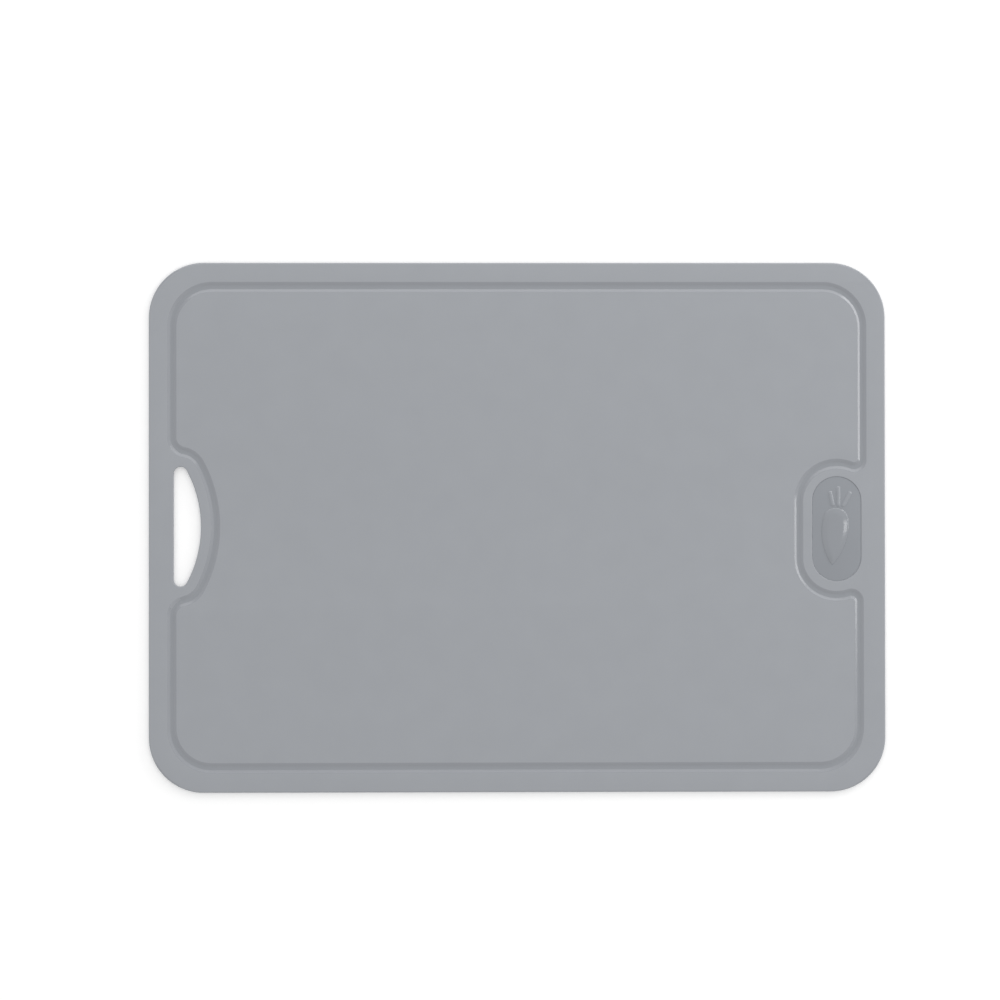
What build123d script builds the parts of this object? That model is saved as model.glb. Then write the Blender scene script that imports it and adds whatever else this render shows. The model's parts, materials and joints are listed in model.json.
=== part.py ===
"""Flexible cutting mat with a juice groove, a hand hole and a carrot badge.

The mat lies flat with its work surface up. X runs along the long side, from the hand hole to the
badge, Y runs from the front to the rear and Z is up. The origin is the middle of the underside.
All lengths are millimetres.
"""

import os
from math import atan2, cos, degrees, hypot, radians, sin, sqrt

from build123d import *

# Overall size
mat_length = 370.0
mat_width = 266.0
corner_radius = 27.5

# Cutting sheet, the soft plastic moulding that carries the work surface
sheet_thickness = 1.6
sheet_edge_round = 0.9

# Grip backing, the rubbery layer moulded under the sheet
backing_thickness = 0.6
backing_setback = 0.8

# Hand hole, a D with its straight side near the left edge and rounded ends
hole_inset = 12.4
hole_width = 13.7
hole_arc_radius = 59.5
hole_end_radius = 3.5
hole_edge_round = 0.45
hand_y = 0.5

# Juice groove: a flat floor between two sloping walls, measured at its centreline
groove_width = 4.7
groove_depth = 0.9
groove_wall_run = 0.95
groove_floor_round = 0.35
groove_corner_radius = 20.0
groove_inset_left = 11.6
groove_inset_right = 11.5
groove_inset_rear = 11.4
groove_inset_front = 12.4
groove_front_leg_step = 1.5

# Where the groove bends inwards round the hand hole
hand_rim = 8.2
hand_bend_reach = 44.5
hand_bend_corner = 12.0
hand_bend_fillet = 7.2

# Badge, an oval plate seated in a pocket beside the right edge
badge_width = 24.5
badge_length = 52.5
badge_inset = 24.4
badge_y = -0.9
badge_plate_thickness = 0.5
badge_sunk = 0.3
badge_edge_chamfer = 0.2
badge_clearance = 0.08

# Where the groove bends inwards round the badge
badge_rim = 6.9
badge_bend_fillet = 4.0

# Carrot pictogram raised on the badge
carrot_length = 28.8
carrot_width = 13.3
carrot_shoulder = 4.5
carrot_relief = 0.3
carrot_draft = 40.0
carrot_tilt = -4.0
carrot_crown_offset = 10.1
leaf_width = 1.5
leaf_spacing = 2.1
leaf_shift = 0.9
leaf_gap = 0.8
leaf_length_left = 7.4
leaf_length_middle = 9.9
leaf_length_right = 8.4
leaf_leans = (18.0, 2.0, -22.0)

# Bending: each long side curls up along evenly spaced lines between the stiff middle and its rim
stiff_half_width = 45.0
stiff_rim = 16.0
bend_count = 6

overrun = 2.0

# Levels and places that follow from the sizes above
sheet_bottom = backing_thickness
sheet_top = sheet_bottom + sheet_thickness
pocket_floor = sheet_top - badge_sunk - badge_plate_thickness
plate_top = sheet_top - badge_sunk

half_length = mat_length / 2
half_width = mat_width / 2
hole_left = hole_inset - half_length
hole_arc_x = hole_left + hole_width - hole_arc_radius
badge_x = half_length - badge_inset
badge_end_offset = (badge_length - badge_width) / 2

leg_left = groove_inset_left - half_length
leg_right_rear = half_length - groove_inset_right
leg_right_front = leg_right_rear - groove_front_leg_step
run_rear = half_width - groove_inset_rear
run_front = groove_inset_front - half_width
bend_pitch = (half_width - stiff_rim - stiff_half_width) / bend_count
hand_bend_radius = hole_arc_radius + hand_rim
badge_bend_radius = badge_width / 2 + badge_rim


def reach(hypotenuse, side):
    """The other side of a right triangle."""
    return sqrt(hypotenuse**2 - side**2)


def hand_bend_corner_centre():
    """Centre of the rear corner arc, which touches the big arc inside and the leg fillet outside.

    It is measured from the centre of the big arc.
    """
    fillet_x = leg_left + hand_bend_fillet - hole_arc_x
    span = hypot(fillet_x, hand_bend_reach)
    inner = hand_bend_radius - hand_bend_corner
    outer = hand_bend_fillet + hand_bend_corner
    along = (span**2 + inner**2 - outer**2) / (2 * span)
    aside = reach(inner, along)
    unit_x, unit_y = fillet_x / span, hand_bend_reach / span
    return along * unit_x + aside * unit_y, along * unit_y - aside * unit_x


def groove_centreline():
    """The closed centreline of the groove, clockwise from the middle of its rear run."""
    r = groove_corner_radius
    fillet = badge_bend_fillet
    rear_centre_y = badge_y + badge_end_offset
    front_centre_y = badge_y - badge_end_offset
    rear_fillet_x = leg_right_rear - fillet
    front_fillet_x = leg_right_front - fillet
    tangent_span = badge_bend_radius + fillet
    rear_rise = reach(tangent_span, rear_fillet_x - badge_x)
    front_drop = reach(tangent_span, front_fillet_x - badge_x)
    rear_angle = degrees(atan2(rear_rise, rear_fillet_x - badge_x))
    front_angle = degrees(atan2(front_drop, front_fillet_x - badge_x))

    corner_x, corner_y = hand_bend_corner_centre()
    hand_fillet_x = leg_left + hand_bend_fillet
    big_angle = degrees(atan2(corner_y, corner_x))
    turn_x = hand_fillet_x - hole_arc_x - corner_x
    turn_angle = degrees(atan2(hand_bend_reach - corner_y, turn_x))

    with BuildLine(Plane.XY.offset(sheet_top)) as line:
        Line((0, run_rear), (leg_right_rear - r, run_rear))
        CenterArc((leg_right_rear - r, run_rear - r), r, 90, -90)
        Line((leg_right_rear, run_rear - r), (leg_right_rear, rear_centre_y + rear_rise))
        CenterArc((rear_fillet_x, rear_centre_y + rear_rise), fillet, 0, rear_angle - 180)
        CenterArc((badge_x, rear_centre_y), badge_bend_radius, rear_angle, 180 - rear_angle)
        Line(
            (badge_x - badge_bend_radius, rear_centre_y),
            (badge_x - badge_bend_radius, front_centre_y),
        )
        CenterArc((badge_x, front_centre_y), badge_bend_radius, 180, 180 - front_angle)
        CenterArc(
            (front_fillet_x, front_centre_y - front_drop), fillet, 180 - front_angle, front_angle - 180
        )
        Line((leg_right_front, front_centre_y - front_drop), (leg_right_front, run_front + r))
        CenterArc((leg_right_front - r, run_front + r), r, 0, -90)
        Line((leg_right_front - r, run_front), (leg_left + r, run_front))
        CenterArc((leg_left + r, run_front + r), r, -90, -90)
        Line((leg_left, run_front + r), (leg_left, hand_y - hand_bend_reach))
        CenterArc((hand_fillet_x, hand_y - hand_bend_reach), hand_bend_fillet, 180, -turn_angle)
        CenterArc(
            (hole_arc_x + corner_x, hand_y - corner_y), hand_bend_corner, -turn_angle, turn_angle - big_angle
        )
        CenterArc((hole_arc_x, hand_y), hand_bend_radius, -big_angle, 2 * big_angle)
        CenterArc(
            (hole_arc_x + corner_x, hand_y + corner_y), hand_bend_corner, big_angle, turn_angle - big_angle
        )
        CenterArc(
            (hand_fillet_x, hand_y + hand_bend_reach), hand_bend_fillet, turn_angle - 180, -turn_angle
        )
        Line((leg_left, hand_y + hand_bend_reach), (leg_left, run_rear - r))
        CenterArc((leg_left + r, run_rear - r), r, 180, -90)
        Line((leg_left + r, run_rear), (0, run_rear))
    return line.wire()


def hand_hole_outline():
    """The D of the hand hole, with ends that run smoothly from the straight side into the arc."""
    end_x = hole_left + hole_end_radius
    end_y = reach(hole_arc_radius - hole_end_radius, end_x - hole_arc_x)
    arc_angle = degrees(atan2(end_y, end_x - hole_arc_x))
    with BuildSketch() as outline:
        with BuildLine():
            Line((hole_left, hand_y + end_y), (hole_left, hand_y - end_y))
            CenterArc((end_x, hand_y - end_y), hole_end_radius, 180, 180 - arc_angle)
            CenterArc((hole_arc_x, hand_y), hole_arc_radius, -arc_angle, 2 * arc_angle)
            CenterArc((end_x, hand_y + end_y), hole_end_radius, arc_angle, 180 - arc_angle)
        make_face()
    return outline.sketch


def badge_outline(clearance):
    """The oval of the badge, grown by a clearance for its pocket."""
    with BuildSketch() as oval:
        with Locations((badge_x, badge_y)):
            SlotOverall(badge_length + 2 * clearance, badge_width + 2 * clearance, rotation=90)
    return oval.sketch


def carrot_body():
    """The carrot seen from above, its crown at the origin and its tip along -Y."""
    widest = carrot_width / 2
    crown_half = widest - carrot_shoulder
    taper_length = carrot_length - carrot_shoulder
    flank_radius = (widest**2 + taper_length**2) / (2 * widest)
    flank_angle = degrees(atan2(taper_length, flank_radius - widest))
    with BuildSketch() as body:
        with BuildLine():
            Line((crown_half, 0), (-crown_half, 0))
            CenterArc((-crown_half, -carrot_shoulder), carrot_shoulder, 90, 90)
            CenterArc((flank_radius - widest, -carrot_shoulder), flank_radius, 180, flank_angle)
            CenterArc((widest - flank_radius, -carrot_shoulder), flank_radius, -flank_angle, flank_angle)
            CenterArc((crown_half, -carrot_shoulder), carrot_shoulder, 0, 90)
        make_face()
    return body.sketch


def carrot_leaves():
    """Three straight leaves that fan out above the crown."""
    lengths = (leaf_length_left, leaf_length_middle, leaf_length_right)
    with BuildSketch() as leaves:
        for place, (length, lean) in enumerate(zip(lengths, leaf_leans)):
            root_x = leaf_shift + (place - 1) * leaf_spacing
            rise = radians(90 + lean)
            with Locations((root_x + length / 2 * cos(rise), leaf_gap + length / 2 * sin(rise))):
                SlotOverall(length, leaf_width, rotation=90 + lean)
    return leaves.sketch


# The whole sheet, before it is divided along the bend lines
with BuildPart() as whole_sheet:
    with BuildSketch(Plane.XY.offset(sheet_bottom)):
        RectangleRounded(mat_length, mat_width, corner_radius)
    extrude(amount=sheet_thickness)
    fillet(whole_sheet.faces().sort_by(Axis.Z)[-1].edges(), sheet_edge_round)

    with BuildSketch(Plane.XY.offset(sheet_bottom)):
        add(hand_hole_outline())
    extrude(amount=sheet_thickness, mode=Mode.SUBTRACT)
    hole_rim = whole_sheet.faces().sort_by(Axis.Z)[-1].inner_wires()[0]
    fillet(hole_rim.edges(), hole_edge_round)

    with BuildSketch(Plane.XY.offset(pocket_floor)):
        add(badge_outline(badge_clearance))
    extrude(amount=badge_sunk + badge_plate_thickness + overrun, mode=Mode.SUBTRACT)

    centreline = groove_centreline()
    across = Plane(origin=centreline @ 0, x_dir=(0, 1, 0), z_dir=(1, 0, 0))
    with BuildSketch(across) as groove_section:
        mouth = groove_width / 2
        floor = mouth - groove_wall_run
        rise = groove_wall_run * overrun / groove_depth
        Polygon(
            (-mouth - rise, overrun),
            (-floor, -groove_depth),
            (floor, -groove_depth),
            (mouth + rise, overrun),
            align=None,
        )
        fillet(groove_section.vertices().group_by(Axis.Z)[0], groove_floor_round)
    sweep(path=centreline, mode=Mode.SUBTRACT)

# The whole backing, set back from the edges of the sheet so that it doesn't show from above
with BuildPart() as whole_backing:
    with BuildSketch() as backing_outline:
        RectangleRounded(mat_length, mat_width, corner_radius)
        offset(amount=-backing_setback)
        add(offset(hand_hole_outline(), amount=backing_setback, mode=Mode.PRIVATE), mode=Mode.SUBTRACT)
    extrude(amount=backing_thickness)

# The badge plate with its raised carrot
with BuildPart() as carrot_badge:
    with BuildSketch(Plane.XY.offset(pocket_floor)):
        add(badge_outline(0))
    extrude(amount=badge_plate_thickness)
    chamfer(carrot_badge.faces().sort_by(Axis.Z)[-1].edges(), badge_edge_chamfer)
    carrot_place = Plane(origin=(badge_x, badge_y + carrot_crown_offset, plate_top)).rotated((0, 0, carrot_tilt))
    with BuildSketch(carrot_place):
        add(carrot_body())
        add(carrot_leaves())
    extrude(amount=carrot_relief, taper=carrot_draft)


def cut_strip(layer, low, high, name):
    """Writes the slice of a layer that lies between two values of Y."""
    with BuildPart() as strip:
        add(layer.part)
        with BuildSketch():
            with Locations((0, (low + high) / 2)):
                Rectangle(mat_length + overrun, high - low)
        extrude(amount=sheet_top + overrun, mode=Mode.INTERSECT)
    strip.part.label = name
    export_step(strip.part, f"parts/{name}.step")


os.makedirs("parts", exist_ok=True)

carrot_badge.part.label = "carrot_badge"
export_step(carrot_badge.part, "parts/carrot_badge.step")

bend_lines = [stiff_half_width + bend_pitch * (place + 0.5) for place in range(bend_count)]
strip_ends = bend_lines[1:] + [half_width + overrun]
for layer, layer_name in ((whole_sheet, "cutting_sheet"), (whole_backing, "grip_backing")):
    cut_strip(layer, -bend_lines[0], bend_lines[0], f"{layer_name}_centre")
    for place, (low, high) in enumerate(zip(bend_lines, strip_ends), start=1):
        cut_strip(layer, -high, -low, f"{layer_name}_front_{place}")
        cut_strip(layer, low, high, f"{layer_name}_rear_{place}")
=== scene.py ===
import json
import math

import bmesh
import bpy
from mathutils import Matrix, Vector

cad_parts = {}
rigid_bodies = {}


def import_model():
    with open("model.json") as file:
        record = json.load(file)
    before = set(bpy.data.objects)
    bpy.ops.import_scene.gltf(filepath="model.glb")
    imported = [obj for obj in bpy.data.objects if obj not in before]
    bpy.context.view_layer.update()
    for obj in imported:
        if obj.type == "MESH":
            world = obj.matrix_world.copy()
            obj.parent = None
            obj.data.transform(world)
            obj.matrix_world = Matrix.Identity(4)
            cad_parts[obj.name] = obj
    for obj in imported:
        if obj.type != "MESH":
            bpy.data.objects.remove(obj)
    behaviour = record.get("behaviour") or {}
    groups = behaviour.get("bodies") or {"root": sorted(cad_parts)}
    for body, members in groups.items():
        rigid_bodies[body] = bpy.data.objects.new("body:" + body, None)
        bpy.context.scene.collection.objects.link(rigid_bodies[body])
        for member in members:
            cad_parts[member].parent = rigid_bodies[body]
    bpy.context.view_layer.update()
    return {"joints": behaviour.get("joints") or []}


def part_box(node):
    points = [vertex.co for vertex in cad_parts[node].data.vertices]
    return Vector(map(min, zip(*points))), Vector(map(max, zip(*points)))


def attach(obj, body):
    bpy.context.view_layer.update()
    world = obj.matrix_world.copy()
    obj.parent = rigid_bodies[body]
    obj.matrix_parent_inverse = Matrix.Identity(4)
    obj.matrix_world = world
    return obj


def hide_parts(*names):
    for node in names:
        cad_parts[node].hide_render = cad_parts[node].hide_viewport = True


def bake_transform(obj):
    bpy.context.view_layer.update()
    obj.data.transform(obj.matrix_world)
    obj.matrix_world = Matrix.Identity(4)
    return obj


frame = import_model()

mm = 0.001
scene = bpy.context.scene
objectOps, meshOps = bpy.ops.object, bpy.ops.mesh

sheetLow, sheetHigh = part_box("cutting_sheet_centre")
sheetUnder, sheetTop = sheetLow.z, sheetHigh.z
halfLength = sheetHigh.x
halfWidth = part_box("cutting_sheet_rear_6")[1].y
badgeLow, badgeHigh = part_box("carrot_badge")
bendLines = sorted(j["pos_m"][1] for j in frame["joints"] if j["name"].startswith("rear"))
pitch = bendLines[1] - bendLines[0]
cuts = [line - pitch / 2 for line in bendLines]  # each cut lies half a pitch before its bend line
print("frame: half length %.4f, half width %.4f, bend pitch %.4f" % (halfLength, halfWidth, pitch))


# camera and lights

# the photograph looks almost straight down, with a slight lean to the rear and to the right
view = {"place": (-22.87 * mm, 6.33 * mm, 1198.84 * mm), "lean": (0.355, -0.671, -0.057), "width": 502.72 * mm,
        "distance": 1.2, "sensor": 36, "clipEnd": 20}

bpy.ops.object.select_all(action="DESELECT")
bpy.ops.object.camera_add(location=Vector(view["place"]) + Vector((0, 0, sheetTop)),
                          rotation=[math.radians(angle) for angle in view["lean"]])
camera = bpy.context.object
camera.name = "matCamera"
camera.data.sensor_width = view["sensor"]
camera.data.lens = view["sensor"] * view["distance"] / view["width"]
camera.data.clip_end = view["clipEnd"]
scene.camera = camera
scene.view_settings.view_transform = "Standard"

lamps = {
    "lowRight": {"place": (1.15, 0.49, 0.36), "size": (1.3, 0.27), "radiance": 3.45},
    "softRear": {"place": (0.1, 1.2, 0.45), "size": (2.4, 1), "radiance": 1},
    "smallHigh": {"place": (0.767, -0.018, 0.975), "size": (0.1, 0.22), "radiance": 4},
}
for name, lamp in lamps.items():
    bpy.ops.object.light_add(type="AREA", location=lamp["place"])
    light = bpy.context.object
    light.name = name
    light.rotation_euler = (-Vector(lamp["place"])).to_track_quat("-Z", "Y").to_euler()
    light.data.shape = "RECTANGLE"
    light.data.size, light.data.size_y = lamp["size"]
    light.data.energy = lamp["radiance"] * math.pi * lamp["size"][0] * lamp["size"][1]
print("camera and lamps placed")


# shader sums

class Signal:
    # one socket of a material; a sum, difference or product of signals adds its Math node
    def __init__(self, tree, socket):
        self.tree, self.socket = tree, socket

    @classmethod
    def node(cls, tree, kind, settings=None, inputs=None, output=0):
        made = tree.nodes.new(kind)
        for key, value in (settings or {}).items():
            setattr(made, key, value)
        for key, value in (inputs or {}).items():
            if isinstance(value, Signal):
                tree.links.new(value.socket, made.inputs[key])
            else:
                made.inputs[key].default_value = value
        return cls(tree, made.outputs[output])

    def maths(self, operation, first, second):
        return Signal.node(self.tree, "ShaderNodeMath", {"operation": operation}, {0: first, 1: second})

    def __add__(self, other): return self.maths("ADD", self, other)
    def __radd__(self, other): return self.maths("ADD", other, self)
    def __sub__(self, other): return self.maths("SUBTRACT", self, other)
    def __mul__(self, other): return self.maths("MULTIPLY", self, other)


def linear(tone):
    # a colour as seen on a screen, 0 to 255, as the light it stands for, by the sRGB curve and its own numbers
    return [(c / 255 / 12.92 if c < 11 else ((c / 255 + 0.055) / 1.055) ** 2.4) for c in tone] + [1]


# shared by all finishes; mix holds the numbers of a Mix node's colour sockets: from, to and result
texture = {"grainDetail": 2.0, "grainRoughness": 0.6, "mottleDetail": 3.0, "rippleDetail": 1.0, "mottleShare": 0.7,
           "grainShare": 0.3, "middle": 0.5, "mix": (6, 7, 2)}


def plasticFinish(name, finish):
    # moulded plastic: a fine grain in the bump, a soft mottle in the tone and the gloss
    material = bpy.data.materials.new(name)
    material.use_nodes = True
    tree = material.node_tree
    surface = tree.nodes["Principled BSDF"]
    place = Signal.node(tree, "ShaderNodeTexCoord", output="Object")

    def noise(layer, more):
        spots = {"Vector": place, "Scale": 1 / finish[layer], "Detail": texture[layer + "Detail"], **more}
        return Signal.node(tree, "ShaderNodeTexNoise", inputs=spots)

    grain = noise("grain", {"Roughness": texture["grainRoughness"]})
    mottle, ripple = noise("mottle", {}), noise("ripple", {})
    amount = mottle * texture["mottleShare"] + grain * texture["grainShare"]
    dark = linear([c - finish["toneSpread"] for c in finish["tone"]])
    pale = linear([c + finish["toneSpread"] for c in finish["tone"]])
    darkIn, paleIn, mixed = texture["mix"]
    colour = Signal.node(tree, "ShaderNodeMix", {"data_type": "RGBA"},
                         {"Factor": amount, darkIn: dark, paleIn: pale}, output=mixed)
    tree.links.new(colour.socket, surface.inputs["Base Color"])
    middle, spread = texture["middle"], finish["roughSpread"]
    gloss = finish["roughness"] + (grain - middle) * spread + (mottle - middle) * spread
    tree.links.new(gloss.socket, surface.inputs["Roughness"])
    height = grain * finish["grainHeight"] + ripple * finish["rippleHeight"]
    bump = Signal.node(tree, "ShaderNodeBump", inputs={"Strength": 1.0, "Distance": 1.0, "Height": height})
    tree.links.new(bump.socket, surface.inputs["Normal"])
    surface.inputs["IOR"].default_value = finish["ior"]
    return material


sheetFinish = {"tone": (154, 157, 162), "toneSpread": 3, "roughness": 0.52, "roughSpread": 0.12, "ior": 1.47,
               "grain": 0.45 * mm, "grainHeight": 0.012 * mm, "mottle": 14 * mm,
               "ripple": 9 * mm, "rippleHeight": 0.008 * mm}
# the groove keeps the sheet's plastic with a polished mould's lower roughness; its darker tone is painted shade of the
# recess
grooveFinishWithPaintedShade = {**sheetFinish, "tone": (141.5, 145, 150.5), "toneSpread": 2, "roughness": 0.17, "roughSpread": 0.05,
                "ior": 1.6, "grainHeight": 0.002 * mm, "rippleHeight": 0.002 * mm}
# the groove walls' darker tone is painted shade of the recess too
wallFinishWithPaintedShade = {**grooveFinishWithPaintedShade, "tone": (145.5, 148.5, 154), "ior": 1.58}
backingFinish = {**sheetFinish, "tone": (137, 140, 146), "toneSpread": 4, "roughness": 0.78, "roughSpread": 0.1,
                 "grain": 0.6 * mm, "grainHeight": 0.03 * mm}
badgeFinish = {**sheetFinish, "tone": (140, 143.5, 149), "toneSpread": 2, "roughness": 0.2, "roughSpread": 0.06,
               "grainHeight": 0.003 * mm, "rippleHeight": 0.002 * mm}
figureFinish = {**badgeFinish, "tone": (137.5, 141, 146.5), "roughness": 0.12, "roughSpread": 0.03, "ior": 1.6}
# the leaves' lighter tone is a painted sheen: it stands for the light their domed tops reflect
leafFinishWithPaintedSheen = {**badgeFinish, "tone": (146.5, 150, 155.5), "roughness": 0.18}

sheetPaint = plasticFinish("mattSheet", sheetFinish)
grooveWithPaintedShade = plasticFinish("polishedGrooveWithPaintedShade", grooveFinishWithPaintedShade)
wallWithPaintedShade = plasticFinish("polishedWallWithPaintedShade", wallFinishWithPaintedShade)
backingPaint = plasticFinish("rubberBacking", backingFinish)
badgePaint = plasticFinish("glossBadge", badgeFinish)
figurePaint = plasticFinish("glossFigure", figureFinish)
leafWithPaintedSheen = plasticFinish("glossLeafWithPaintedSheen", leafFinishWithPaintedSheen)
print("finishes mixed")


# drawing by hand: a point is pulled into a profile, and the profile round an outline

class Pull:
    # what is selected is drawn along runs and turns; a turn to the left of the heading is positive
    def __init__(self, place, heading, axis):
        self.place, self.heading, self.axis = Vector(place), Vector(heading), Vector(axis)

    def run(self, length):
        step = self.heading * length
        meshOps.extrude_region_move(TRANSFORM_OT_translate={"value": step})
        self.place = self.place + step

    def turn(self, radius, degrees, steps):
        centre = self.place + self.axis.cross(self.heading) * math.copysign(radius, degrees)
        # spin itself counts the other way round
        meshOps.spin(steps=steps, angle=-math.radians(degrees), center=centre, axis=self.axis)
        turned = Matrix.Rotation(math.radians(degrees), 3, self.axis)
        self.place = centre + turned @ (self.place - centre)
        self.heading = turned @ self.heading


def startPoint(name, place):
    # a single point in edit mode, made from a plane that is merged at its middle
    objectOps.select_all(action="DESELECT")
    meshOps.primitive_plane_add(size=mm, location=(0, 0, 0))
    piece = bpy.context.object
    piece.name = piece.data.name = name
    objectOps.mode_set(mode="EDIT")
    meshOps.merge(type="CENTER")
    bpy.ops.transform.translate(value=place)
    return piece


def mark(piece, name):
    # the selected point's ring is found again by this name
    objectOps.vertex_group_assign_new()
    piece.vertex_groups.active.name = name


def selectMarked(piece, name):
    meshOps.select_all(action="DESELECT")
    piece.vertex_groups.active = piece.vertex_groups[name]
    objectOps.vertex_group_select()


def drawProfile(name, place, heading, axis, moves, marks):
    # moves are ("run", length), ("turn", radius, degrees, steps) or ("face", heading)
    piece = startPoint(name, place)
    mark(piece, marks[0])
    pull = Pull(place, heading, axis)
    for number, move in enumerate(moves):
        if move[0] == "run":
            pull.run(move[1])
        elif move[0] == "turn":
            pull.turn(*move[1:])
        else:
            pull.heading = Vector(move[1])
        if number == 0:
            objectOps.vertex_group_remove_from()  # only the first point belongs to the first ring
    mark(piece, marks[1])
    meshOps.select_all(action="SELECT")
    return piece


# how finely arcs are divided, and how near points merge or snap to a cut
arcs = {"degrees": 4, "length": 2 * mm, "fewest": 2, "swellDegrees": 9}
tolerance = {"merge": 0.004 * mm, "mergeCuts": 0.003 * mm, "cut": 0.001 * mm}


def stepsFor(radius, degrees):
    # by angle or by length, whichever is finer
    byLength = math.radians(abs(degrees)) * radius / arcs["length"]
    return max(arcs["fewest"], math.ceil(max(abs(degrees) / arcs["degrees"], byLength)))


def sweepProfile(place, heading, path, swell=0):
    # with a swell the profile grows wider the more its heading runs along the mat
    pull = Pull(place, heading, (0, 0, 1))
    width = 1

    def widen():
        nonlocal width
        wanted = 1 + swell * pull.heading.x ** 2
        bpy.ops.transform.resize(value=(wanted / width, wanted / width, 1), center_override=pull.place)
        width = wanted

    if swell:
        widen()
    for move in path:
        if move[0] == "run":
            pull.run(move[1])
            continue
        radius, degrees = move[1:]
        parts = math.ceil(abs(degrees) / arcs["swellDegrees"]) if swell else 1
        for part in range(parts):
            pull.turn(radius, degrees / parts, stepsFor(radius, degrees / parts))
            if swell:
                widen()
    meshOps.select_all(action="SELECT")
    meshOps.remove_doubles(threshold=tolerance["merge"])
    objectOps.mode_set(mode="OBJECT")
    return (pull.place - Vector(place)).length


def selectOnly(*pieces):
    objectOps.select_all(action="DESELECT")
    for piece in pieces:
        piece.select_set(True)
    bpy.context.view_layer.objects.active = pieces[0]


def joined(pieces, name):
    selectOnly(*pieces)
    objectOps.join()
    pieces[0].name = pieces[0].data.name = name
    return pieces[0]


def paintFaces(piece, paints):
    piece.data.materials.clear()
    for paint in paints:
        piece.data.materials.append(paint)


def smooth(piece, degrees):
    selectOnly(piece)
    objectOps.shade_smooth_by_angle(angle=math.radians(degrees))


# the cutting sheet

# a flat is how far an edge reaches into the level face beside it, and steps divide a round
sheet = {"edgeRound": 0.9 * mm, "edgeSteps": 8, "footRound": 0.25 * mm, "footSteps": 3, "support": 0.6 * mm,
         "flat": 2 * mm, "cornerRadius": 27.5 * mm, "bendStep": 2 * mm, "smoothAngle": 32}
hole = {"inset": 12.4 * mm, "width": 13.7 * mm, "arcRadius": 59.5 * mm, "endRadius": 3.5 * mm, "middle": 0.5 * mm,
        "edgeRound": 0.45 * mm, "edgeSteps": 5, "flat": 0.5 * mm}
pocket = {"lipRound": 0.13 * mm, "lipSteps": 4, "lipRun": 0.16 * mm, "lipSlope": 34, "clearance": 0.04 * mm,
          "flat": 0.4 * mm, "floorFlat": 0.5 * mm}
groove = {"width": 4.4 * mm, "depth": 0.87 * mm, "wallRun": 1.34 * mm, "floorRound": 0.5 * mm, "lipRound": 0.8 * mm,
          "support": 0.3 * mm, "cornerRadius": 20 * mm, "insetLeft": 11.6 * mm, "insetRight": 11.65 * mm,
          "insetRear": 12.25 * mm, "insetFront": 12.35 * mm, "frontLegStep": 1.5 * mm, "handRim": 7.4 * mm,
          "handReach": 44.5 * mm, "handCorner": 12 * mm, "handFillet": 7.2 * mm, "badgeRim": 7 * mm,
          "badgeFillet": 4 * mm, "badgeShift": 0.6 * mm, "swell": 0.12, "roundSteps": 5}

badgeX, badgeY = (badgeLow.x + badgeHigh.x) / 2, (badgeLow.y + badgeHigh.y) / 2
badgeRadius = (badgeHigh.x - badgeLow.x) / 2
badgeEnd = (badgeHigh.y - badgeLow.y) / 2 - badgeRadius
pocketFloor = badgeLow.z
holeLeft = hole["inset"] - halfLength
holeArcX = holeLeft + hole["width"] - hole["arcRadius"]


def reach(slope, side):
    # the other side of a right-angled triangle
    return math.sqrt(slope ** 2 - side ** 2)


def roundedRectangle(halfX, halfY, radius):
    # clockwise from the middle of the rear side
    runX, runY = halfX - radius, 2 * (halfY - radius)
    return [("run", runX), ("turn", radius, -90), ("run", runY), ("turn", radius, -90), ("run", 2 * runX),
            ("turn", radius, -90), ("run", runY), ("turn", radius, -90), ("run", runX)]


def stadium(radius):
    # anticlockwise round the badge, from the front end of its right side
    return [("run", 2 * badgeEnd), ("turn", radius, 180)] * 2


def holePath(grow):
    # down the straight side, round the front end, up the big arc and round the rear end
    endX = holeLeft + hole["endRadius"]
    endY = reach(hole["arcRadius"] - hole["endRadius"], endX - holeArcX)
    arc = math.degrees(math.atan2(endY, endX - holeArcX))
    small, big = hole["endRadius"] + grow, hole["arcRadius"] + grow
    start = (holeLeft - grow, hole["middle"] + endY)
    end = ("turn", small, 180 - arc)
    return start, [("run", 2 * endY), end, ("turn", big, 2 * arc), end]


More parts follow.
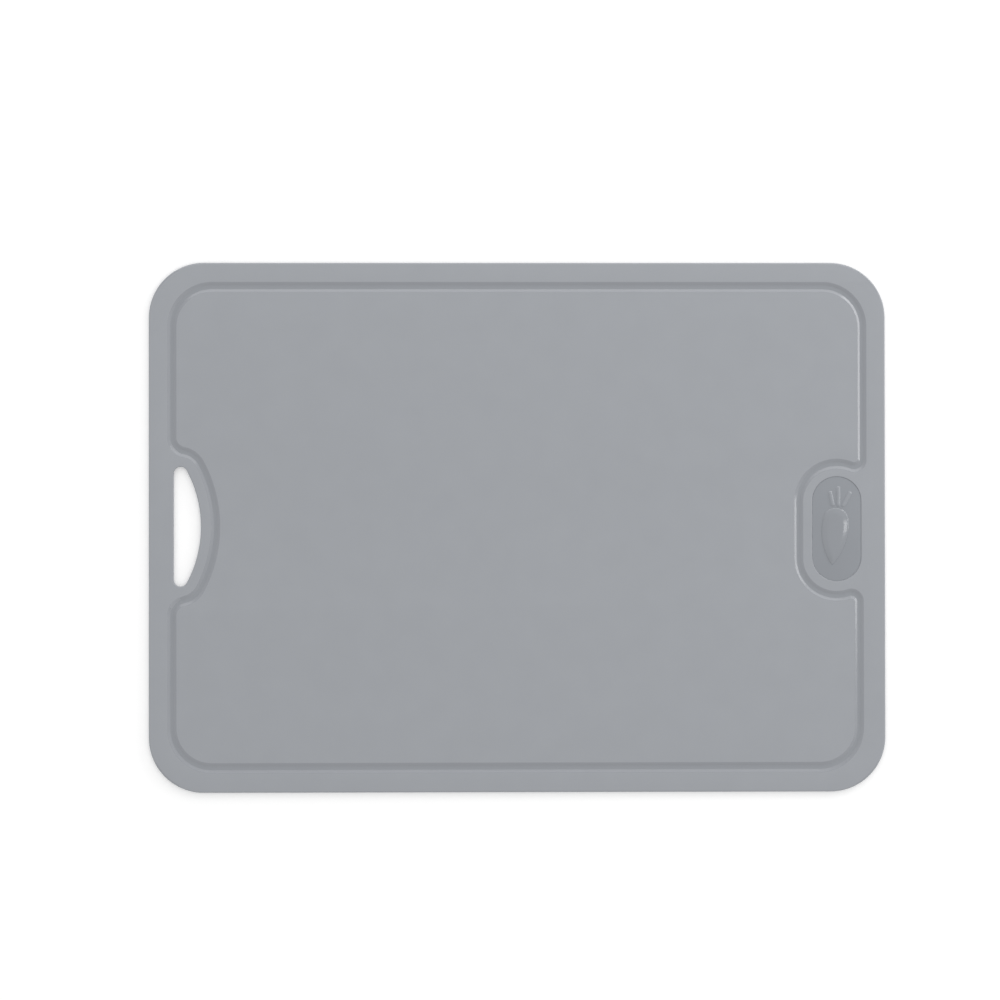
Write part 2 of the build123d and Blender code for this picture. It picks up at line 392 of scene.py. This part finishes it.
def groovePath():
    # clockwise from the middle of the rear run, with a bend round the badge and one round the hand hole
    g = groove
    legLeft, legRight = g["insetLeft"] - halfLength, halfLength - g["insetRight"]
    legFront = legRight - g["frontLegStep"]
    runRear, runFront = halfWidth - g["insetRear"], g["insetFront"] - halfWidth
    corner, fillet = g["cornerRadius"], g["badgeFillet"]
    bend, bendY = badgeRadius + g["badgeRim"], badgeY - g["badgeShift"]
    rearRise = reach(bend + fillet, legRight - fillet - badgeX)
    frontDrop = reach(bend + fillet, legFront - fillet - badgeX)
    rearTurn = 180 - math.degrees(math.atan2(rearRise, legRight - fillet - badgeX))
    frontTurn = 180 - math.degrees(math.atan2(frontDrop, legFront - fillet - badgeX))

    # the hand bend: leg fillet, corner arc and the big arc round the hole touch each other
    bigRadius = hole["arcRadius"] + g["handRim"]
    filletX = legLeft + g["handFillet"] - holeArcX
    span = math.hypot(filletX, g["handReach"])
    inner, outer = bigRadius - g["handCorner"], g["handFillet"] + g["handCorner"]
    along = (span ** 2 + inner ** 2 - outer ** 2) / (2 * span)
    aside = reach(inner, along)
    unitX, unitY = filletX / span, g["handReach"] / span
    cornerX, cornerY = along * unitX + aside * unitY, along * unitY - aside * unitX
    bigAngle = math.degrees(math.atan2(cornerY, cornerX))
    filletAngle = math.degrees(math.atan2(g["handReach"] - cornerY, filletX - cornerX))

    path = [
        ("run", legRight - corner), ("turn", corner, -90),
        ("run", runRear - corner - bendY - badgeEnd - rearRise), ("turn", fillet, -rearTurn), ("turn", bend, rearTurn),
        ("run", 2 * badgeEnd), ("turn", bend, frontTurn), ("turn", fillet, -frontTurn),
        ("run", bendY - badgeEnd - frontDrop - runFront - corner), ("turn", corner, -90),
        ("run", legFront - corner - legLeft - corner), ("turn", corner, -90),
        ("run", hole["middle"] - g["handReach"] - runFront - corner), ("turn", g["handFillet"], -filletAngle),
        ("turn", g["handCorner"], filletAngle - bigAngle), ("turn", bigRadius, 2 * bigAngle),
        ("turn", g["handCorner"], filletAngle - bigAngle), ("turn", g["handFillet"], -filletAngle),
        ("run", runRear - corner - hole["middle"] - g["handReach"]), ("turn", corner, -90), ("run", -legLeft - corner),
    ]
    return (0, runRear), path


def outerBand():
    r, foot, flat = sheet["edgeRound"], sheet["footRound"], sheet["flat"]
    moves = [("run", flat - foot), ("turn", foot, 90, sheet["footSteps"]), ("run", sheetTop - sheetUnder - r - foot),
             ("turn", r, 90, sheet["edgeSteps"]), ("run", sheet["support"])]
    start = (0, halfWidth - flat, sheetUnder)
    piece = drawProfile("sheetEdge", start, (0, 1, 0), (1, 0, 0), moves, ("underside", "rim"))
    gap = sweepProfile((0, halfWidth, 0), (1, 0, 0), roundedRectangle(halfLength, halfWidth, sheet["cornerRadius"]))
    print("sheet edge closes within %.5f mm" % (gap / mm))
    return piece


def holeBand():
    r, foot, flat = hole["edgeRound"], sheet["footRound"], hole["flat"]
    (startX, startY), path = holePath(0)
    moves = [("run", flat), ("turn", r, -90, hole["edgeSteps"]), ("run", sheetTop - sheetUnder - r - foot),
             ("turn", foot, -90, sheet["footSteps"]), ("run", flat)]
    start = (startX - r - flat, startY, sheetTop)
    piece = drawProfile("holeEdge", start, (1, 0, 0), (0, -1, 0), moves, ("rim", "underside"))
    gap = sweepProfile((startX, startY, 0), (0, -1, 0), path)
    print("hand hole closes within %.5f mm" % (gap / mm))
    return piece


def pocketBand():
    r, flat, slope, bevel = pocket["lipRound"], pocket["flat"], pocket["lipSlope"], pocket["lipRun"]
    wall = badgeRadius + pocket["clearance"]
    across = r + bevel * math.cos(math.radians(slope))  # two rounds and the bevel between them
    down = r + bevel * math.sin(math.radians(slope))
    steps = pocket["lipSteps"]
    moves = [("run", flat), ("turn", r, slope, steps), ("run", bevel), ("turn", r, 90 - slope, steps),
             ("run", sheetTop - pocketFloor - down), ("face", (-1, 0, 0)), ("run", pocket["floorFlat"])]
    start = (badgeX + wall + across + flat, badgeY - badgeEnd, sheetTop)
    piece = drawProfile("pocketEdge", start, (-1, 0, 0), (0, -1, 0), moves, ("rim", "pocketFloor"))
    gap = sweepProfile((badgeX + wall, badgeY - badgeEnd, 0), (0, 1, 0), stadium(wall))
    print("badge pocket closes within %.5f mm" % (gap / mm))
    return piece


def grooveBand():
    g = groove
    slope = math.degrees(math.atan2(g["depth"], g["wallRun"]))
    lipReach = g["lipRound"] * math.tan(math.radians(slope / 2))
    floorReach = g["floorRound"] * math.tan(math.radians(slope / 2))
    wall = math.hypot(g["depth"], g["wallRun"]) - lipReach - floorReach
    floor = g["width"] - 2 * g["wallRun"] - 2 * floorReach
    lip = ("turn", g["lipRound"], slope, g["roundSteps"])
    foot = ("turn", g["floorRound"], -slope, g["roundSteps"])
    support = ("run", g["support"])
    moves = [support, lip, ("run", wall), foot, ("run", floor), foot, ("run", wall), lip, support]
    (startX, startY), path = groovePath()
    edge = startY + g["width"] / 2 + lipReach + g["support"]
    piece = drawProfile("juiceGroove", (startX, edge, sheetTop), (0, -1, 0), (1, 0, 0), moves, ("rim", "field"))
    gap = sweepProfile((startX, startY, 0), (1, 0, 0), path, g["swell"])
    print("juice groove closes within %.5f mm" % (gap / mm))
    return piece


def fillMarked(piece, name):
    selectMarked(piece, name)
    meshOps.fill(use_beauty=False)


# the least height of a level face's normal, and the angle below which level faces merge
level = {"normal": 0.99999, "degrees": 0.05}


def mergeFlats(piece):
    # the fill's thin triangles become a few large flat faces
    meshOps.select_all(action="DESELECT")
    work = bmesh.from_edit_mesh(piece.data)
    for face in work.faces:
        face.select = abs(face.normal.z) > level["normal"] and len(face.verts) == 3
    bmesh.update_edit_mesh(piece.data)
    meshOps.dissolve_limited(angle_limit=math.radians(level["degrees"]), use_dissolve_boundaries=False)


def closeRings(piece, names):
    objectOps.mode_set(mode="EDIT")
    for name in names:
        fillMarked(piece, name)
    mergeFlats(piece)


def faceOutward():
    meshOps.select_all(action="SELECT")
    meshOps.normals_make_consistent(inside=False)


def cutAlong(line, **kept):
    meshOps.select_all(action="SELECT")
    meshOps.bisect(plane_co=(0, line, 0), plane_no=(0, 1, 0), threshold=tolerance["cut"], **kept)


def divideAt(lines):
    # extra edges along the mat, where it bends
    for line in lines:
        cutAlong(line)
    meshOps.select_all(action="SELECT")
    meshOps.remove_doubles(threshold=tolerance["mergeCuts"])


def cutSlice(whole, name, low, high):
    # a copy of the whole, kept between two places across the mat and closed at its cut faces
    piece = whole.copy()
    piece.data = whole.data.copy()
    piece.name = piece.data.name = name
    scene.collection.objects.link(piece)
    selectOnly(piece)
    objectOps.mode_set(mode="EDIT")
    if low is not None:
        cutAlong(low, use_fill=True, clear_inner=True)
    if high is not None:
        cutAlong(high, use_fill=True, clear_outer=True)
    objectOps.mode_set(mode="OBJECT")
    return piece


def bendingLines():
    fine = sheet["bendStep"]
    count = round(len(bendLines) * pitch / fine)
    places = [cuts[0] + fine * n for n in range(count + 1)]
    return places + [-p for p in places]


# the mat's slices, from the middle out: (name, low, high, inner body, outer body)
slices = [("centre", -cuts[0], cuts[0], "centre", None)]
for number, low in enumerate(cuts, start=1):
    high = cuts[number] if number < len(cuts) else None
    for side, sign in (("front", -1), ("rear", 1)):
        inner = "centre" if number == 1 else "%s_strip_%d" % (side, number - 1)
        ends = (low, high) if sign > 0 else (None if high is None else -high, -low)
        slices.append(("%s_%d" % (side, number), ends[0], ends[1], inner, "%s_strip_%d" % (side, number)))


def placeSlice(piece, part):
    # the middle rides on the stiff body; each further slice only has its place baked into its mesh
    name, low, high, inner, outer = part
    if outer is None:
        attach(piece, inner)
        return
    sign = 1 if name.startswith("rear") else -1
    start = cuts[int(name.split("_")[1]) - 1] * sign
    start + pitch * sign
    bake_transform(piece)


wholeSheet = joined([outerBand(), grooveBand(), holeBand(), pocketBand()], "wholeSheet")
closeRings(wholeSheet, ("rim", "field", "underside", "pocketFloor"))
faceOutward()
divideAt(bendingLines())
objectOps.mode_set(mode="OBJECT")
print("whole sheet: %d faces" % len(wholeSheet.data.polygons))

# the groove's faces lie below the top, look up, and keep clear of the mat's edge and of the hand hole; they get the
# polished finishes whose darker tones are painted shade
polishAndShadeMask = {"belowFloor": 0.02 * mm, "belowTop": 0.004 * mm, "wallUp": 0.3, "floorUp": 0.985, "edgeClear": 4 * mm,
          "holeClear": 1.5 * mm, "floorSlot": 1, "wallSlot": 2}

paintFaces(wholeSheet, [sheetPaint, grooveWithPaintedShade, wallWithPaintedShade])
grooveFloor, clear = sheetTop - groove["depth"], polishAndShadeMask["holeClear"]
for face in wholeSheet.data.polygons:
    x, y, z = face.center
    sunk = grooveFloor - polishAndShadeMask["belowFloor"] < z < sheetTop - polishAndShadeMask["belowTop"] and face.normal.z > polishAndShadeMask["wallUp"]
    inside = max(abs(x) - halfLength, abs(y) - halfWidth) < -polishAndShadeMask["edgeClear"]
    byHole = x > holeLeft - clear and math.hypot(x - holeArcX, y - hole["middle"]) < hole["arcRadius"] + clear
    if sunk and inside and not byHole:
        face.material_index = polishAndShadeMask["floorSlot"] if face.normal.z > polishAndShadeMask["floorUp"] else polishAndShadeMask["wallSlot"]

for part in slices:
    piece = cutSlice(wholeSheet, "cuttingSheet_" + part[0], part[1], part[2])
    smooth(piece, sheet["smoothAngle"])
    placeSlice(piece, part)
    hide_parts("cutting_sheet_" + part[0])
bpy.data.objects.remove(wholeSheet)
print("cutting sheet: %d slices" % len(slices))


# the grip backing under it

# a step of a dot is a share of its height and the share of its width that is left there
backing = {"setback": 0.8 * mm, "footRound": 0.2 * mm, "footSteps": 3, "flat": 1.5 * mm, "holeFlat": 0.6 * mm,
           "lift": 0.15 * mm, "dotRadius": 0.9 * mm, "dotRoot": 0.1 * mm, "dotPitch": 6 * mm, "dotSides": 10,
           "dotSteps": ((0.52, 0.9), (0.32, 0.72), (0.16, 0.55)), "edgeClear": 4 * mm, "holeHalf": 31 * mm,
           "smoothAngle": 40}


def backingBand():
    r, flat, lift = backing["footRound"], backing["flat"], backing["lift"]
    edge = halfWidth - backing["setback"]
    moves = [("run", flat), ("turn", r, -90, backing["footSteps"]), ("run", sheetUnder - lift - r),
             ("face", (0, -1, 0)), ("run", flat)]
    piece = drawProfile("backingEdge", (0, edge - flat - r, lift), (0, 1, 0), (-1, 0, 0), moves, ("low", "high"))
    sweepProfile((0, edge, 0), (1, 0, 0),
                 roundedRectangle(halfLength - backing["setback"], edge, sheet["cornerRadius"] - backing["setback"]))
    return piece


def backingHole():
    r, flat = backing["footRound"], backing["holeFlat"]
    (startX, startY), path = holePath(backing["setback"])
    moves = [("run", flat), ("face", (0, 0, -1)), ("run", sheetUnder - backing["lift"] - r),
             ("turn", r, -90, backing["footSteps"]), ("run", flat)]
    start = (startX - flat, startY, sheetUnder)
    piece = drawProfile("backingHole", start, (1, 0, 0), (0, -1, 0), moves, ("high", "low"))
    sweepProfile((startX, startY, 0), (0, -1, 0), path)
    return piece


def oneDot():
    # a low rounded grip dot, sunk a little into the backing
    root = backing["lift"] + backing["dotRoot"]
    objectOps.select_all(action="DESELECT")
    meshOps.primitive_circle_add(vertices=backing["dotSides"], radius=backing["dotRadius"], fill_type="NGON",
                                 location=(0, 0, 0))
    piece = bpy.context.object
    objectOps.mode_set(mode="EDIT")
    bpy.ops.transform.translate(value=(0, 0, root))
    for drop, share in backing["dotSteps"]:
        meshOps.extrude_region_move(TRANSFORM_OT_translate={"value": (0, 0, -root * drop)})
        bpy.ops.transform.resize(value=(share, share, 1))
    faceOutward()
    objectOps.mode_set(mode="OBJECT")
    return piece


def dotRows(lows, columns):
    # rows of dots at the given places across the mat, every other row shifted by half a pitch
    rows = []
    for row in lows:
        piece = oneDot()
        shift = backing["dotPitch"] / 2 if round(row / backing["dotPitch"]) % 2 else 0
        objectOps.mode_set(mode="EDIT")
        meshOps.select_all(action="SELECT")
        bpy.ops.transform.translate(value=(-columns * backing["dotPitch"] + shift, row, 0))
        objectOps.mode_set(mode="OBJECT")
        array = piece.modifiers.new("columns", "ARRAY")
        array.use_relative_offset = False
        array.use_constant_offset = True
        array.constant_offset_displace = (backing["dotPitch"], 0, 0)
        array.count = 2 * columns
        objectOps.modifier_apply(modifier="columns")
        rows.append(piece)
    return rows


def clearDots(piece):
    # dots that would reach over the corners or into the hand hole are taken off
    objectOps.mode_set(mode="EDIT")
    meshOps.select_all(action="DESELECT")
    work = bmesh.from_edit_mesh(piece.data)
    radius, room = sheet["cornerRadius"], backing["edgeClear"]
    for vert in work.verts:
        x, y = abs(vert.co.x), abs(vert.co.y)
        over = math.hypot(max(0, x - halfLength + radius), max(0, y - halfWidth + radius)) > radius - room
        beside = holeLeft - room < vert.co.x < holeLeft + hole["width"] + room
        vert.select = over or (beside and abs(vert.co.y - hole["middle"]) < backing["holeHalf"])
    bmesh.update_edit_mesh(piece.data)
    meshOps.select_linked()
    meshOps.delete(type="VERT")
    objectOps.mode_set(mode="OBJECT")


wholeBacking = joined([backingBand(), backingHole()], "wholeBacking")
closeRings(wholeBacking, ("low", "high"))
faceOutward()
divideAt(bendingLines())
objectOps.mode_set(mode="OBJECT")
paintFaces(wholeBacking, [backingPaint])
print("whole backing: %d faces" % len(wholeBacking.data.polygons))

columns = int((halfLength - backing["edgeClear"]) / backing["dotPitch"])
lastRow = int(halfWidth / backing["dotPitch"])
rowPlaces = [backing["dotPitch"] * n for n in range(-lastRow, lastRow + 1)]
for part in slices:
    piece = cutSlice(wholeBacking, "gripBacking_" + part[0], part[1], part[2])
    low = -halfWidth if part[1] is None else part[1]
    high = halfWidth if part[2] is None else part[2]
    rows = dotRows([place for place in rowPlaces if low < place < high], columns)
    dots = joined(rows, "dots")
    clearDots(dots)
    paintFaces(dots, [backingPaint])
    piece = joined([piece, dots], "gripBacking_" + part[0])
    smooth(piece, backing["smoothAngle"])
    placeSlice(piece, part)
    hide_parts("grip_backing_" + part[0])
bpy.data.objects.remove(wholeBacking)
print("grip backing: %d slices" % len(slices))


# the badge with its carrot

# a leaf is its length, its lean in degrees and the place of its root; a step of a dome is how far in from the outline
# it ends and how much it rises, in millimetres
badge = {"plateTop": 2 * mm, "edgeRound": 0.1 * mm, "edgeSteps": 4, "flat": 0.8 * mm, "carrotLength": 28.8 * mm,
         "carrotWidth": 13.5 * mm, "carrotMiddle": 0.42, "shoulder": 5.9 * mm, "flankLean": 10, "tilt": -4.9,
         "crownOffset": 10.4 * mm, "leafWidth": 2.1 * mm, "leafGap": 0.8 * mm, "sink": 0.12 * mm,
         "roundSteps": 12, "flankSteps": 30, "smoothAngle": 40,
         "leaves": ((7.9 * mm, 16.5, -1.9 * mm), (10.3 * mm, 5, 0.8 * mm), (8.9 * mm, -23, 2.9 * mm)),
         "leafDome": ((0, 0.12), (0.04, 0.04), (0.16, 0.1), (0.45, 0.19), (0.62, 0.08), (0.8, 0.03), (0.95, 0.01)),
         "carrotDome": ((0, 0.12), (0.04, 0.05), (0.14, 0.08), (0.27, 0.08), (0.4, 0.08), (0.5, 0.04), (1.2, 0.145),
                        (1.9, 0.145), (2.6, 0.14), (3.3, 0.07), (4.2, 0.03), (5, 0.01))}


def badgePlate():
    r, flat, side = badge["edgeRound"], badge["flat"], badgeX + badgeRadius
    moves = [("run", flat), ("face", (0, 0, 1)), ("run", badge["plateTop"] - pocketFloor - r),
             ("turn", r, 90, badge["edgeSteps"]), ("run", flat - r)]
    start = (side - flat, badgeY - badgeEnd, pocketFloor)
    piece = drawProfile("badgePlate", start, (1, 0, 0), (0, -1, 0), moves, ("plateLow", "plateTop"))
    sweepProfile((side, badgeY - badgeEnd, 0), (0, 1, 0), stadium(badgeRadius))
    closeRings(piece, ("plateLow", "plateTop"))
    objectOps.mode_set(mode="OBJECT")
    return piece


def dome(middle, halfX, halfY, steps):
    # the outline is closed with a face, which rises in steps and is drawn in towards the middle
    meshOps.select_all(action="SELECT")
    meshOps.remove_doubles(threshold=tolerance["merge"])
    meshOps.edge_face_add()
    work = bmesh.from_edit_mesh(bpy.context.object.data)
    if sum(face.normal.z for face in work.faces) < 0:
        meshOps.flip_normals()
    before = 0
    for inset, rise in steps:
        meshOps.extrude_region_move(TRANSFORM_OT_translate={"value": (0, 0, rise * mm)})
        shareX = (halfX - inset * mm) / (halfX - before * mm)
        shareY = (halfY - inset * mm) / (halfY - before * mm)
        bpy.ops.transform.resize(value=(shareX, shareY, 1), center_override=middle)
        before = inset


def carrotBody():
    # a flat crown, round shoulders, and flanks that are widest a third of the way down and meet in the tip
    widest, shoulder, lean = badge["carrotWidth"] / 2, badge["shoulder"], math.radians(badge["flankLean"])
    below = badge["carrotLength"] - shoulder * (1 - math.sin(lean))
    share = below * math.sin(lean) + widest
    flank = (share - math.sqrt(share ** 2 - math.sin(lean) ** 2 * (below ** 2 + widest ** 2))) / math.sin(lean) ** 2
    tip = math.asin((below - flank * math.sin(lean)) / flank)
    crownHalf = widest - flank * (1 - math.cos(lean)) - shoulder * math.cos(lean)
    start = Vector((crownHalf, 0, 0))
    piece = startPoint("carrotBody", start)
    pull = Pull(start, (-1, 0, 0), (0, 0, 1))
    pull.run(2 * crownHalf)
    shoulderTurn, flankTurn = 90 - badge["flankLean"], math.degrees(lean + tip)
    pull.turn(shoulder, shoulderTurn, badge["roundSteps"])
    pull.turn(flank, flankTurn, badge["flankSteps"])
    pull.heading = Vector((math.sin(tip), math.cos(tip), 0))
    pull.turn(flank, flankTurn, badge["flankSteps"])
    pull.turn(shoulder, shoulderTurn, badge["roundSteps"])
    middle = (0, -badge["carrotLength"] * badge["carrotMiddle"], 0)
    dome(middle, widest, badge["carrotLength"] / 2, badge["carrotDome"])
    return piece


def carrotLeaf(length, lean, rootX):
    width = badge["leafWidth"]
    straight = length - width
    start = Vector((width / 2, width / 2, 0))
    piece = startPoint("carrotLeaf", start)
    pull = Pull(start, (0, 1, 0), (0, 0, 1))
    for end in range(2):
        pull.run(straight)
        pull.turn(width / 2, 180, badge["roundSteps"])
    dome((0, length / 2, 0), width / 2, length / 2, badge["leafDome"])
    objectOps.mode_set(mode="OBJECT")
    piece.data.transform(Matrix.Translation((rootX, badge["leafGap"], 0)) @ Matrix.Rotation(math.radians(lean), 4, "Z"))
    return piece


figure = [carrotBody()]
objectOps.mode_set(mode="OBJECT")
for leaf in badge["leaves"]:
    figure.append(carrotLeaf(*leaf))
crown = Matrix.Translation((badgeX, badgeY + badge["crownOffset"], badge["plateTop"] - badge["sink"]))
for piece in figure:
    piece.data.transform(crown @ Matrix.Rotation(math.radians(badge["tilt"]), 4, "Z"))
    paintFaces(piece, [figurePaint if piece == figure[0] else leafWithPaintedSheen])
plate = badgePlate()
paintFaces(plate, [badgePaint])
carrotBadge = joined([plate] + figure, "carrotBadge")
objectOps.mode_set(mode="EDIT")
faceOutward()
objectOps.mode_set(mode="OBJECT")
smooth(carrotBadge, badge["smoothAngle"])
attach(carrotBadge, "centre")
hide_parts("carrot_badge")
print("badge: %d faces" % len(carrotBadge.data.polygons))


# the floor and the white surroundings

# for the camera the floor is lifted towards white, and more so away from the mat
studio = {"floorTone": 0.93, "floorSize": 8, "floorDrop": 0.02 * mm, "ambient": 0.83, "nearLift": 0.14,
          "farLift": 0.27, "near": 0.27, "far": 0.7}
white = (1, 1, 1, 1)

objectOps.select_all(action="DESELECT")
meshOps.primitive_plane_add(size=studio["floorSize"], location=(0, 0, -studio["floorDrop"]))
floor = bpy.context.object
floor.name = "studioFloor"
floorPaint = bpy.data.materials.new("paleFloor")
floorPaint.use_nodes = True
tree = floorPaint.node_tree
tree.nodes.remove(tree.nodes["Principled BSDF"])
seen = Signal.node(tree, "ShaderNodeLightPath", output="Is Camera Ray")
diffuse = Signal.node(tree, "ShaderNodeBsdfDiffuse", inputs={"Color": (studio["floorTone"],) * 3 + (1,)})
place = Signal.node(tree, "ShaderNodeTexCoord", output="Object")
away = Signal.node(tree, "ShaderNodeVectorMath", {"operation": "LENGTH"}, {0: place}, output="Value")
whiter = Signal.node(tree, "ShaderNodeMapRange", inputs={
    "Value": away, "From Min": studio["near"], "From Max": studio["far"],
    "To Min": studio["nearLift"], "To Max": studio["farLift"]})
lift = Signal.node(tree, "ShaderNodeEmission", inputs={"Color": white, "Strength": seen * whiter})
both = Signal.node(tree, "ShaderNodeAddShader", inputs={0: diffuse, 1: lift})
tree.links.new(both.socket, tree.nodes["Material Output"].inputs["Surface"])
floor.data.materials.append(floorPaint)

world = bpy.data.worlds.new("whiteStudio")
scene.world = world
world.use_nodes = True
tree = world.node_tree
# these rays see plain white, while the world lights the mat by a little less
camRay, glossRay, throughRay = (
    Signal.node(tree, "ShaderNodeLightPath", output=name)
    for name in ("Is Camera Ray", "Is Glossy Ray", "Is Transmission Ray"))
plain = camRay + glossRay + throughRay
strength = studio["ambient"] + plain * (1 - studio["ambient"])
background = tree.nodes["Background"]
background.inputs["Color"].default_value = white
tree.links.new(strength.socket, background.inputs["Strength"])
print("floor and surroundings ready")
